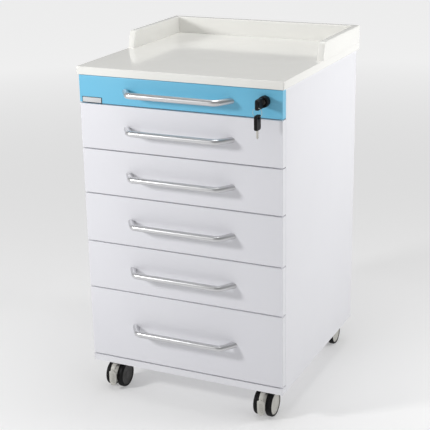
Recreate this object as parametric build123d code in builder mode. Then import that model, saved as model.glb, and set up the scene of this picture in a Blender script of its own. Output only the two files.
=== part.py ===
from build123d import *
import os

# Instrument cart for a veterinary clinic: a steel cabinet on four twin-wheel casters, with six
# drawers on ball-bearing slides and a stone worktop with an upstand on three sides.
# Millimetres. +Z is up, the drawers face -Y, and the origin is on the floor below the middle.

os.makedirs("parts", exist_ok=True)

# ---- driving dimensions ----
BODY_W = 480.0            # cabinet width
BODY_D = 476.0            # cabinet depth, drawer fronts included
BASE_Z = 70.0             # underside of the cabinet above the floor
FRONT_Y = -217.3          # front face of the drawer fronts
PLINTH_H = 16.8           # strip below the lowest drawer
DRAWER_HEIGHTS = [62.8, 103.6, 104.3, 115.2, 113.9, 170.9]   # drawer 1 is the blue one on top
SHEET = 1.2               # sheet steel of the cabinet and the drawers
FRONT_T = 17.2            # depth of a folded drawer front
FRONT_SEAT = 0.8          # air behind a closed drawer front
FRONT_GAP = 2.6           # gap between neighbouring drawer fronts
SLAB_T = 17.7             # worktop slab
SLAB_SIDE = 4.0           # how far the slab stands out at each side
SLAB_FRONT = 3.0
SLAB_BACK = 10.0
RIM_H = 39.5              # upstand above the slab
RIM_T = 16.0
RIM_START = 234.0         # bare front edge of the worktop before the side upstands begin
RIM_SLOPE = 13.0          # how far the sloping front end of an upstand leans back
RIM_SEAT = 0.6            # the upstand stands in a shallow rebate of the slab
SIDE_T = 15.0             # depth of the folded side panels
SLIDE_T = 12.7            # ball-bearing slide, all three members
SLIDE_LEN = 430.0
HANDLE_PITCH = 248.0      # between the two feet of a handle
HANDLE_R = 6.8
HANDLE_OUT = 31.6         # drawer front to the middle of the bar
HANDLE_FLAT = 206.0       # straight stretch between the two bends
WHEEL_R = 30.0
WHEEL_W = 15.5
HUB_GAP = 13.0            # body of a caster between its two wheels
CASTER_X = 190.0
CASTER_TRAIL = 20.0       # swivel axis to wheel axle
FRONT_SWIVEL = 50.0       # swivel axis behind the drawer fronts
REAR_SWIVEL = 427.0
LOCK_X = 201.0
LOCK_Z = 732.0
KEY_HEAD_L = 31.5
KEY_HEAD_W = 22.0
KEY_HEAD_T = 7.0
RING_R = 10.0
RING_WIRE = 0.6

# ---- places worked out from them ----
HALF_W = BODY_W / 2
BACK_Y = FRONT_Y + BODY_D
CASE_Y = FRONT_Y + FRONT_T + FRONT_SEAT
TOP_Z = BASE_Z + PLINTH_H + sum(DRAWER_HEIGHTS)
SLAB_TOP = TOP_Z + SLAB_T
SLAB_HALF = HALF_W + SLAB_SIDE
SLAB_FRONT_Y = FRONT_Y - SLAB_FRONT
SLAB_BACK_Y = BACK_Y + SLAB_BACK
POST_X = HALF_W - SHEET   # inner face of a side panel's skin
SLIDE_OUT_X = POST_X - 12.5
SLIDE_IN_X = SLIDE_OUT_X - SLIDE_T
BOX_BACK_Y = CASE_Y + SLIDE_LEN - 4
DRAWERS = []              # (number, lower edge, upper edge) of each drawer's zone
zone_top = TOP_Z
for number, zone in enumerate(DRAWER_HEIGHTS, start=1):
    DRAWERS.append((number, zone_top - zone, zone_top))
    zone_top -= zone
CASTERS = {
    "fl": (-CASTER_X, FRONT_Y + FRONT_SWIVEL, -1),
    "fr": (CASTER_X, FRONT_Y + FRONT_SWIVEL, -1),
    "rl": (-CASTER_X, FRONT_Y + REAR_SWIVEL, 1),
    "rr": (CASTER_X, FRONT_Y + REAR_SWIVEL, 1),
}


def save(builder, name):
    """Labels a finished sub-part and writes its STEP file."""
    builder.part.label = name
    export_step(builder.part, f"parts/{name}.step")


def block(x0, x1, y0, y1, z0, z1, mode=Mode.ADD):
    """Adds a box to the sub-part being built, given by its six faces."""
    with Locations(((x0 + x1) / 2, (y0 + y1) / 2, (z0 + z1) / 2)):
        Box(x1 - x0, y1 - y0, z1 - z0, mode=mode)


# ---- worktop ----
RIM_LOW = SLAB_TOP - RIM_SEAT
RIM_FRONT_Y = SLAB_FRONT_Y + RIM_START
RIM_JOINT = 0.3           # joint line left open round the upstand's foot
with BuildPart() as worktop_slab:
    block(-SLAB_HALF, SLAB_HALF, SLAB_FRONT_Y, SLAB_BACK_Y, TOP_Z, SLAB_TOP)
    fillet(worktop_slab.edges().filter_by(Axis.Z).group_by(Axis.Y)[0], radius=3)
    fillet(worktop_slab.faces().sort_by(Axis.Y)[0].edges().filter_by(Axis.X), radius=1.5)
    seat_in = RIM_T + RIM_JOINT
    block(-SLAB_HALF, SLAB_HALF, SLAB_BACK_Y - seat_in, SLAB_BACK_Y, RIM_LOW, SLAB_TOP,
          mode=Mode.SUBTRACT)
    for side in (-1, 1):
        low, high = sorted((side * (SLAB_HALF - seat_in), side * SLAB_HALF))
        block(low, high, RIM_FRONT_Y - RIM_JOINT, SLAB_BACK_Y, RIM_LOW, SLAB_TOP,
              mode=Mode.SUBTRACT)
save(worktop_slab, "worktop_slab")

with BuildPart() as worktop_rim:
    block(-SLAB_HALF, SLAB_HALF, SLAB_BACK_Y - RIM_T, SLAB_BACK_Y, RIM_LOW, SLAB_TOP + RIM_H)
    fillet(worktop_rim.edges().filter_by(Axis.X).group_by(Axis.Z)[-1], radius=2.5)
    for side in (-1, 1):
        with BuildSketch(Plane.YZ.offset(side * (SLAB_HALF - RIM_T / 2))) as side_outline:
            with BuildLine():
                Polyline(
                    (RIM_FRONT_Y, RIM_LOW),
                    (RIM_FRONT_Y + RIM_SLOPE, SLAB_TOP + RIM_H),
                    (SLAB_BACK_Y - RIM_T, SLAB_TOP + RIM_H),
                    (SLAB_BACK_Y - RIM_T, RIM_LOW),
                    close=True,
                )
            make_face()
            corner = side_outline.vertices().group_by(Axis.X)[1]
            fillet(corner, radius=7)
        upstand = extrude(amount=RIM_T / 2, both=True, mode=Mode.PRIVATE)
        long_edges = upstand.edges().filter_by(Axis.Y).group_by(Axis.Z)[-1]
        add(upstand.fillet(2.5, long_edges))
save(worktop_rim, "worktop_rim")

# ---- cabinet shell ----
PLINTH_TOP = BASE_Z + PLINTH_H - FRONT_GAP / 2
for side, word in ((-1, "left"), (1, "right")):
    with BuildPart() as side_panel:
        with BuildSketch(Plane.YZ.offset(side * (HALF_W - SIDE_T / 2))):
            with BuildLine():
                Polyline(
                    (FRONT_Y, BASE_Z),
                    (FRONT_Y, PLINTH_TOP),
                    (CASE_Y, PLINTH_TOP),
                    (CASE_Y, TOP_Z),
                    (BACK_Y, TOP_Z),
                    (BACK_Y, BASE_Z),
                    close=True,
                )
            make_face()
        extrude(amount=SIDE_T / 2, both=True)
        skin = side_panel.faces().sort_by(Axis.X)[0 if side < 0 else -1]
        fillet(skin.edges().filter_by(Axis.Z).group_by(Axis.Y)[-1], radius=1.5)
        inner = side * (HALF_W - SIDE_T)
        outer = side * POST_X
        low, high = min(inner, outer), max(inner, outer)
        block(low, high, CASE_Y + SHEET, BACK_Y - SHEET, BASE_Z + SHEET, TOP_Z - SHEET,
              mode=Mode.SUBTRACT)
        block(low, high, FRONT_Y, CASE_Y, BASE_Z, PLINTH_TOP, mode=Mode.SUBTRACT)
    save(side_panel, f"side_panel_{word}")

BACK_HALF = HALF_W - SIDE_T - 0.2
with BuildPart() as back_panel:
    block(-BACK_HALF, BACK_HALF, BACK_Y - 11, BACK_Y - 1, BASE_Z + SHEET, TOP_Z)
    block(-BACK_HALF + SHEET, BACK_HALF - SHEET, BACK_Y - 11, BACK_Y - 1 - SHEET,
          BASE_Z + 2 * SHEET, TOP_Z - SHEET, mode=Mode.SUBTRACT)
save(back_panel, "back_panel")

# the floor of the cabinet; in front it widens to the plinth strip between the side panels' skins
PAN_HALF = HALF_W - SIDE_T - 0.4
PLINTH_HALF = POST_X - 0.3
PLINTH_BACK = CASE_Y - 0.3
PAN_BACK = BACK_Y - 11.2
with BuildPart() as base_pan:
    block(-PLINTH_HALF, PLINTH_HALF, FRONT_Y, PLINTH_BACK, BASE_Z, PLINTH_TOP)
    block(-PAN_HALF, PAN_HALF, FRONT_Y, PAN_BACK, BASE_Z, PLINTH_TOP)
    block(-PLINTH_HALF + SHEET, PLINTH_HALF - SHEET, FRONT_Y + SHEET, PLINTH_BACK - SHEET,
          BASE_Z + SHEET, PLINTH_TOP - SHEET, mode=Mode.SUBTRACT)
    block(-PAN_HALF + SHEET, PAN_HALF - SHEET, FRONT_Y + SHEET, PAN_BACK - SHEET,
          BASE_Z + SHEET, PLINTH_TOP - SHEET, mode=Mode.SUBTRACT)
    block(-PAN_HALF + SHEET, PAN_HALF - SHEET, CASE_Y + 14, BACK_Y - 30,
          BASE_Z + SHEET, PLINTH_TOP, mode=Mode.SUBTRACT)
save(base_pan, "base_pan")

# four slotted posts behind the side panels, and two rails under the worktop
POST_D = 26.0
POST_YS = (CASE_Y + 22, BOX_BACK_Y - 42)
RAIL_LOW = TOP_Z - 11.0
RAIL_YS = (CASE_Y + 0.4, BACK_Y - 40)
RAIL_D = 20.0
RAIL_HALF = HALF_W - SIDE_T
KEEPER = (-12.0, 7.0)    # slot in the front rail, from the lock, that its cam turns up into
with BuildPart() as inner_frame:
    for side in (-1, 1):
        for post_y in POST_YS:
            low, high = sorted((side * SLIDE_OUT_X, side * POST_X))
            block(low, high, post_y, post_y + POST_D, BASE_Z + SHEET, RAIL_LOW)
            low, high = sorted((side * (SLIDE_OUT_X + SHEET), side * POST_X))
            block(low, high, post_y + SHEET, post_y + POST_D - SHEET, BASE_Z + SHEET, RAIL_LOW,
                  mode=Mode.SUBTRACT)
    for rail_y in RAIL_YS:
        block(-RAIL_HALF, RAIL_HALF, rail_y, rail_y + RAIL_D, RAIL_LOW, TOP_Z)
        block(-RAIL_HALF, RAIL_HALF, rail_y + SHEET, rail_y + RAIL_D - SHEET,
              RAIL_LOW + SHEET, TOP_Z, mode=Mode.SUBTRACT)
    block(LOCK_X + KEEPER[0], LOCK_X + KEEPER[1], CASE_Y + 2.2, CASE_Y + 7.8,
          RAIL_LOW, RAIL_LOW + 2 * SHEET, mode=Mode.SUBTRACT)
save(inner_frame, "inner_frame")

# ---- drawer slides: three members, nested ----
BALL_GAP = 0.3


def slide_height(number):
    """The shallow top drawer has a lower slide than the others."""
    return 35.0 if number == 1 else 45.0


def slide_centre(number, zone_low):
    """Height of a slide's middle line."""
    return zone_low + (27.0 if number == 1 else 42.0)


def channel(side, web_x, lip_x, y0, y1, mid_z, half_h, wall):
    """One C-shaped member: a web in the plane web_x and two lips that reach to lip_x."""
    low, high = sorted((side * web_x, side * lip_x))
    block(low, high, y0, y1, mid_z - half_h, mid_z + half_h)
    toward = SHEET if lip_x > web_x else -SHEET
    low, high = sorted((side * (web_x + toward), side * lip_x))
    block(low, high, y0, y1, mid_z - half_h + wall, mid_z + half_h - wall, mode=Mode.SUBTRACT)


with BuildPart() as slide_outer_members:
    for number, zone_low, zone_high in DRAWERS:
        for side in (-1, 1):
            channel(side, SLIDE_OUT_X, SLIDE_IN_X + 3, CASE_Y + 4, CASE_Y + SLIDE_LEN,
                    slide_centre(number, zone_low), slide_height(number) / 2, SHEET)
save(slide_outer_members, "slide_outer_members")

for number, zone_low, zone_high in DRAWERS:
    mid_half = slide_height(number) / 2 - SHEET - BALL_GAP
    inner_half = mid_half - 3.0 - BALL_GAP
    mid_z = slide_centre(number, zone_low)
    with BuildPart() as slide_mid:
        for side in (-1, 1):
            channel(side, SLIDE_OUT_X - 2.4, SLIDE_IN_X + 2.2, CASE_Y + 5, CASE_Y + 405,
                    mid_z, mid_half, 3.0)
    save(slide_mid, f"slide_mid_{number}")
    with BuildPart() as slide_inner:
        for side in (-1, 1):
            channel(side, SLIDE_IN_X, SLIDE_IN_X + 7.5, CASE_Y + 1, CASE_Y + 424,
                    mid_z, inner_half, SHEET)
    save(slide_inner, f"slide_inner_{number}")

# ---- drawers ----
LIP_SIDE = 30.0           # folded returns at the back of a drawer front
LIP_EDGE = 7.0
LOCK_HOLE_R = 9.2
BOX_HALF = SLIDE_IN_X
for number, zone_low, zone_high in DRAWERS:
    front_low = zone_low + FRONT_GAP / 2
    front_high = zone_high - FRONT_GAP / 2
    front_back = FRONT_Y + FRONT_T
    with BuildPart() as drawer_front:
        block(-HALF_W, HALF_W, FRONT_Y, front_back, front_low, front_high)
        fillet(drawer_front.faces().sort_by(Axis.Y)[0].edges(), radius=1.5)
        block(-HALF_W + SHEET, HALF_W - SHEET, FRONT_Y + SHEET, front_back - SHEET,
              front_low + SHEET, front_high - SHEET, mode=Mode.SUBTRACT)
        block(-HALF_W + LIP_SIDE, HALF_W - LIP_SIDE, FRONT_Y + SHEET, front_back,
              front_low + LIP_EDGE, front_high - LIP_EDGE, mode=Mode.SUBTRACT)
        if number == 1:
            with Locations(Plane.XZ.offset(-FRONT_Y)):
                with Locations((LOCK_X, LOCK_Z)):
                    Cylinder(LOCK_HOLE_R, 2 * FRONT_T, mode=Mode.SUBTRACT)
    save(drawer_front, f"drawer_front_{number}")

    box_low = zone_low + (9.0 if number == 1 else 12.0)
    box_high = zone_high - (14.0 if number == 1 else 22.0)
    with BuildPart() as drawer_box:
        block(-BOX_HALF, BOX_HALF, front_back, BOX_BACK_Y, box_low, box_high)
        block(-BOX_HALF + SHEET, BOX_HALF - SHEET, front_back + SHEET, BOX_BACK_Y - SHEET,
              box_low + SHEET, box_high, mode=Mode.SUBTRACT)
        if number == 1:
            with Locations(Plane.XZ.offset(-front_back)):
                with Locations((LOCK_X, LOCK_Z)):
                    Cylinder(LOCK_HOLE_R, 4 * SHEET, mode=Mode.SUBTRACT)
    save(drawer_box, f"drawer_box_{number}")

    handle_z = (front_low + front_high) / 2
    bend_y = FRONT_Y - HANDLE_OUT
    foot_dx = HANDLE_PITCH / 2 - HANDLE_FLAT / 2
    overrun = 0.4
    foot_x = HANDLE_PITCH / 2 + foot_dx * overrun
    foot_y = FRONT_Y + HANDLE_OUT * overrun
    with BuildPart() as handle:
        with BuildLine() as bar_line:
            FilletPolyline(
                (-foot_x, foot_y, handle_z),
                (-HANDLE_FLAT / 2, bend_y, handle_z),
                (HANDLE_FLAT / 2, bend_y, handle_z),
                (foot_x, foot_y, handle_z),
                radius=16,
            )
        with BuildSketch(Plane(origin=bar_line.line @ 0, z_dir=bar_line.line % 0)):
            Circle(HANDLE_R)
        sweep()
        block(-HANDLE_PITCH, HANDLE_PITCH, FRONT_Y, FRONT_Y + 4 * HANDLE_OUT,
              handle_z - 4 * HANDLE_R, handle_z + 4 * HANDLE_R, mode=Mode.SUBTRACT)
    save(handle, f"handle_{number}")

NAMEPLATE_X = -208.5
with BuildPart() as nameplate:
    block(NAMEPLATE_X - 24.5, NAMEPLATE_X + 24.5, FRONT_Y - 1.2, FRONT_Y,
          TOP_Z - 61.5, TOP_Z - 48.5)
    fillet(nameplate.edges().filter_by(Axis.Y), radius=1)
save(nameplate, "nameplate")

# ---- lock, keys and ring ----
COLLAR_R = 12.0
COLLAR_OUT = 14.0
PLUG_R = 6.0
BARREL_BACK = FRONT_Y + FRONT_T + SHEET + 3
with BuildPart() as lock_barrel:
    with BuildSketch(Plane.XZ.offset(-FRONT_Y)):
        with Locations((LOCK_X, LOCK_Z)):
            Circle(COLLAR_R)
    extrude(amount=COLLAR_OUT)
    fillet(lock_barrel.faces().sort_by(Axis.Y)[0].edges(), radius=2.5)
    with BuildSketch(Plane.XZ.offset(-FRONT_Y)):
        with Locations((LOCK_X, LOCK_Z)):
            Circle(LOCK_HOLE_R - 0.2)
    extrude(amount=FRONT_Y - BARREL_BACK)
    with BuildSketch(Plane.XZ.offset(-BARREL_BACK)):
        with Locations((LOCK_X, LOCK_Z)):
            Circle(PLUG_R + 0.05)
    extrude(amount=BARREL_BACK - FRONT_Y + COLLAR_OUT, mode=Mode.SUBTRACT)
save(lock_barrel, "lock_barrel")

BLADE_W = 8.0
BLADE_T = 2.0
BLADE_L = 18.0
PLUG_FRONT = FRONT_Y - COLLAR_OUT + 0.5
KEY_FACE = FRONT_Y - COLLAR_OUT - 0.5
CAM_LEN = 24.0
CAM_T = 2.0
with BuildPart() as lock_cam:
    with BuildSketch(Plane.XZ.offset(-PLUG_FRONT)):
        with Locations((LOCK_X, LOCK_Z)):
            Circle(PLUG_R)
    extrude(amount=PLUG_FRONT - BARREL_BACK - 0.4)
    block(LOCK_X - BLADE_T / 2 - 0.1, LOCK_X + BLADE_T / 2 + 0.1, PLUG_FRONT - 1,
          KEY_FACE + BLADE_L + 0.3, LOCK_Z - BLADE_W / 2 - 0.1, LOCK_Z + BLADE_W / 2 + 0.1,
          mode=Mode.SUBTRACT)
    with BuildSketch(Plane.XZ.offset(-BARREL_BACK - 0.4)):
        with Locations((LOCK_X - CAM_LEN / 2 + 6, LOCK_Z)):
            SlotOverall(CAM_LEN, 10)
    extrude(amount=-CAM_T)
save(lock_cam, "lock_cam")


KEY_SLOT_IN = 3.6         # plastic between the slot and the end of the head
KEY_SLOT = (4.0, 14.0)
KEY_END = KEY_FACE - KEY_HEAD_L
SLOT_Y = KEY_END + KEY_SLOT_IN + KEY_SLOT[0] / 2
with BuildPart() as lock_key:
    with BuildSketch(Plane.YZ.offset(LOCK_X - KEY_HEAD_T / 2)):
        with Locations(((KEY_FACE + KEY_END) / 2, LOCK_Z)):
            RectangleRounded(KEY_HEAD_L, KEY_HEAD_W, 5)
        with Locations((SLOT_Y, LOCK_Z)):
            SlotOverall(KEY_SLOT[1], KEY_SLOT[0], rotation=90, mode=Mode.SUBTRACT)
    extrude(amount=KEY_HEAD_T)
    fillet(lock_key.faces().filter_by(Axis.X).edges().filter_by(Axis.Y), radius=1.2)
    block(LOCK_X - BLADE_T / 2, LOCK_X + BLADE_T / 2, KEY_FACE, KEY_FACE + BLADE_L,
          LOCK_Z - BLADE_W / 2, LOCK_Z + BLADE_W / 2)
save(lock_key, "lock_key")

RING_TOP = LOCK_Z - KEY_SLOT[1] / 2 + 1.6
with BuildPart() as key_ring:
    with BuildSketch(Plane.XY.offset(RING_TOP - RING_R)):
        with Locations((LOCK_X + RING_R, SLOT_Y)):
            Circle(RING_WIRE)
    revolve(axis=Axis((LOCK_X, SLOT_Y, RING_TOP - RING_R), (0, 1, 0)), revolution_arc=360)
save(key_ring, "key_ring")

HANG_Z = RING_TOP - 2 * RING_R
SPARE_TOP = HANG_Z + KEY_SLOT_IN + 1.6
with BuildPart() as spare_key:
    with BuildSketch(Plane.YZ.offset(LOCK_X - KEY_HEAD_T / 2)):
        with Locations((SLOT_Y, SPARE_TOP - KEY_HEAD_L / 2)):
            RectangleRounded(KEY_HEAD_W, KEY_HEAD_L, 5)
        with Locations((SLOT_Y, SPARE_TOP - KEY_SLOT_IN - KEY_SLOT[0] / 2)):
            SlotOverall(KEY_SLOT[1], KEY_SLOT[0], mode=Mode.SUBTRACT)
    extrude(amount=KEY_HEAD_T)
    fillet(spare_key.faces().filter_by(Axis.X).edges().filter_by(Axis.Z), radius=1.2)
    block(LOCK_X - BLADE_T / 2, LOCK_X + BLADE_T / 2, SLOT_Y - BLADE_W / 2, SLOT_Y + BLADE_W / 2,
          SPARE_TOP - KEY_HEAD_L - BLADE_L, SPARE_TOP - KEY_HEAD_L)
save(spare_key, "spare_key")

# ---- casters ----
PLATE_T = 3.0
PLATE_W = 44.0
SCREW_PITCH = 34.0
PLATE_SCREW_R = 3.2
PIN_R = 4.0
PIN_LOW = 48.0
HEAD_LOW = 61.2
HEAD_HIGH = BASE_Z - PLATE_T - 0.5
HEAD_R = 17.0
AXLE_R = 3.0
AXLE_HALF = HUB_GAP / 2 + WHEEL_W - 3.0
WEB_HALF = HUB_GAP / 2 - 0.3
BRAKED = ("fl", "fr")
PIVOT_AHEAD = 14.0        # brake pedal's pivot ahead of the wheel axle
PIVOT_Z = 63.7
PIVOT_R = 1.2
KNUCKLE_R = 2.6
PEDAL_W = 18.0
PEDAL_AHEAD = 37.5        # front of the pedal ahead of the wheel axle
PEDAL_T = 5.5
PEDAL_LOW = 13.0

with BuildPart() as caster_plates:
    for caster_x, swivel_y, trail_side in CASTERS.values():
        with BuildSketch(Plane.XY.offset(BASE_Z - PLATE_T)):
            with Locations((caster_x, swivel_y)):
                RectangleRounded(PLATE_W, PLATE_W, 4)
                with GridLocations(SCREW_PITCH, SCREW_PITCH, 2, 2):
                    Circle(PLATE_SCREW_R + 0.1, mode=Mode.SUBTRACT)
        extrude(amount=PLATE_T)
        with BuildSketch(Plane.XY.offset(PIN_LOW)):
            with Locations((caster_x, swivel_y)):
                Circle(PIN_R)
        extrude(amount=BASE_Z - PLATE_T - PIN_LOW)
save(caster_plates, "caster_plates")

for tag, (caster_x, swivel_y, trail_side) in CASTERS.items():
    axle_y = swivel_y + trail_side * CASTER_TRAIL
    with BuildPart() as caster_hood:
        with BuildSketch(Plane.YZ.offset(caster_x - WEB_HALF)):
            with Locations((axle_y, WHEEL_R)):
                Circle(WHEEL_R - 8)
            with BuildLine():
                Polyline(
                    (axle_y, WHEEL_R + 20),
                    (axle_y, HEAD_LOW + 1),
                    (swivel_y - trail_side * 9, HEAD_LOW + 1),
                    (swivel_y - trail_side * 9, PIN_LOW - 3),
                    (axle_y, WHEEL_R - 15),
                    close=True,
                )
            make_face()
        extrude(amount=2 * WEB_HALF)
        with BuildSketch(Plane.XY.offset(HEAD_LOW)):
            with Locations((caster_x, swivel_y)):
                Circle(HEAD_R)
        extrude(amount=HEAD_HIGH - HEAD_LOW)
        if tag in BRAKED:
            with BuildSketch(Plane.YZ.offset(caster_x - WEB_HALF)):
                with Locations((axle_y - PIVOT_AHEAD, PIVOT_Z)):
                    Circle(KNUCKLE_R)
                with Locations((axle_y - PIVOT_AHEAD / 2 + 2, PIVOT_Z)):
                    Rectangle(PIVOT_AHEAD + 4, 2 * KNUCKLE_R)
                with Locations((axle_y - PIVOT_AHEAD, PIVOT_Z)):
                    Circle(PIVOT_R + 0.05, mode=Mode.SUBTRACT)
            extrude(amount=2 * WEB_HALF)
        with BuildSketch(Plane.XY.offset(PIN_LOW - 0.5)):
            with Locations((caster_x, swivel_y)):
                Circle(PIN_R + 0.05)
        extrude(amount=BASE_Z - PIN_LOW, mode=Mode.SUBTRACT)
        with BuildSketch(Plane.YZ.offset(caster_x - AXLE_HALF)):
            with Locations((axle_y, WHEEL_R)):
                Circle(AXLE_R)
        extrude(amount=2 * AXLE_HALF)
    save(caster_hood, f"caster_hood_{tag}")

    for side, word in ((-1, "left"), (1, "right")):
        inner_x = caster_x + side * HUB_GAP / 2
        with BuildPart() as wheel:
            with BuildSketch(Plane.YZ.offset(inner_x)):
                with Locations((axle_y, WHEEL_R)):
                    Circle(WHEEL_R)
            extrude(amount=side * WHEEL_W)
            fillet(wheel.edges().filter_by(GeomType.CIRCLE), radius=3.5)
            with BuildSketch(Plane.YZ.offset(inner_x - side)):
                with Locations((axle_y, WHEEL_R)):
                    Circle(AXLE_R + 0.05)
            extrude(amount=side * (WHEEL_W - 1.5), mode=Mode.SUBTRACT)
        save(wheel, f"wheel_{tag}_{word}")

for tag in BRAKED:
    caster_x, swivel_y, trail_side = CASTERS[tag]
    axle_y = swivel_y + trail_side * CASTER_TRAIL
    front = axle_y - PEDAL_AHEAD
    with BuildPart() as brake_pedal:
        with BuildSketch(Plane.YZ.offset(caster_x)) as pedal_outline:
            with BuildLine():
                Polyline(
                    (front + PEDAL_T, PEDAL_LOW),
                    (front + PEDAL_T, 49),
                    (axle_y - PIVOT_AHEAD - 6, PIVOT_Z - KNUCKLE_R - 0.2),
                    (axle_y - PIVOT_AHEAD, PIVOT_Z - KNUCKLE_R),
                    (axle_y - PIVOT_AHEAD, PIVOT_Z + KNUCKLE_R),
                    (axle_y - PIVOT_AHEAD - 6, PIVOT_Z + KNUCKLE_R),
                    (front + 4, 57),
                    (front, 47),
                    (front, PEDAL_LOW),
                    close=True,
                )
            make_face()
            with Locations((axle_y - PIVOT_AHEAD, PIVOT_Z)):
                Circle(KNUCKLE_R)
            fillet(pedal_outline.vertices().group_by(Axis.Y)[0], radius=2)
        extrude(amount=PEDAL_W / 2, both=True)
        block(caster_x - WEB_HALF - 0.3, caster_x + WEB_HALF + 0.3,
              axle_y - PIVOT_AHEAD - KNUCKLE_R - 0.5, axle_y,
              PIVOT_Z - 2 * KNUCKLE_R, PIVOT_Z + 2 * KNUCKLE_R, mode=Mode.SUBTRACT)
        with BuildSketch(Plane.YZ.offset(caster_x)):
            with Locations((axle_y - PIVOT_AHEAD, PIVOT_Z)):
                Circle(PIVOT_R)
        extrude(amount=PEDAL_W / 2, both=True)
    save(brake_pedal, f"brake_pedal_{tag}")

# ---- screws: worktop, back panel and caster plates ----
HEAD_SCREW_R = 3.6
with BuildPart() as frame_fasteners:
    for caster_x, swivel_y, trail_side in CASTERS.values():
        with BuildSketch(Plane.XY.offset(BASE_Z - PLATE_T + 0.2)):
            with Locations((caster_x, swivel_y)):
                with GridLocations(SCREW_PITCH, SCREW_PITCH, 2, 2):
                    Circle(PLATE_SCREW_R)
        extrude(amount=PLATE_T - 0.2)
    with BuildSketch(Plane.XZ.offset(1 - BACK_Y)):
        with Locations((0, (BASE_Z + TOP_Z) / 2)):
            with GridLocations(2 * BACK_HALF - 24, (TOP_Z - BASE_Z - 30) / 2, 2, 3):
                Circle(HEAD_SCREW_R)
    extrude(amount=-0.9)
save(frame_fasteners, "frame_fasteners")
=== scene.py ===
"""The looks of the instrument cart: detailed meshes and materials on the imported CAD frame."""
from math import cos, pi, radians, sin

import bmesh
import bpy
from mathutils import Matrix, Vector


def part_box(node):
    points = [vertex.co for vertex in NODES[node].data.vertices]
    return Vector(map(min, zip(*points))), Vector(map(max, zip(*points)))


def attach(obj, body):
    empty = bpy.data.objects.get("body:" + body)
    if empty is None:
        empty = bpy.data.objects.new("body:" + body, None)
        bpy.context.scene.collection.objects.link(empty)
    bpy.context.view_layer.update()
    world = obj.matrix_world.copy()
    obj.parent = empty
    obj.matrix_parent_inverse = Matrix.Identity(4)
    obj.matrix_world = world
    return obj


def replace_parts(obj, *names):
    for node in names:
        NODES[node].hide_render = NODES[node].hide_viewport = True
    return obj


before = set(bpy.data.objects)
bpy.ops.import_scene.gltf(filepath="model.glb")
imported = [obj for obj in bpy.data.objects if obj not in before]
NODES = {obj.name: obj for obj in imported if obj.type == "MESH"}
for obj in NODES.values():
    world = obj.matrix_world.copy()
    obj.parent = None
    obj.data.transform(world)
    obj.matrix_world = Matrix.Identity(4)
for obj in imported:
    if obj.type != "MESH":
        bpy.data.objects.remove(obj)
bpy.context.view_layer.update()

MM = 0.001
CASTERS = ("fl", "fr", "rl", "rr")
BRAKED = ("fl", "fr")
DRAWERS = range(1, 7)


# ---------------------------------------------------------------- places from the frame
def low(node):
    return Vector(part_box(node)[0])


def high(node):
    return Vector(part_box(node)[1])


def middle(node):
    return (low(node) + high(node)) / 2


FRONT_Y = low("drawer_front_1").y


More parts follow.
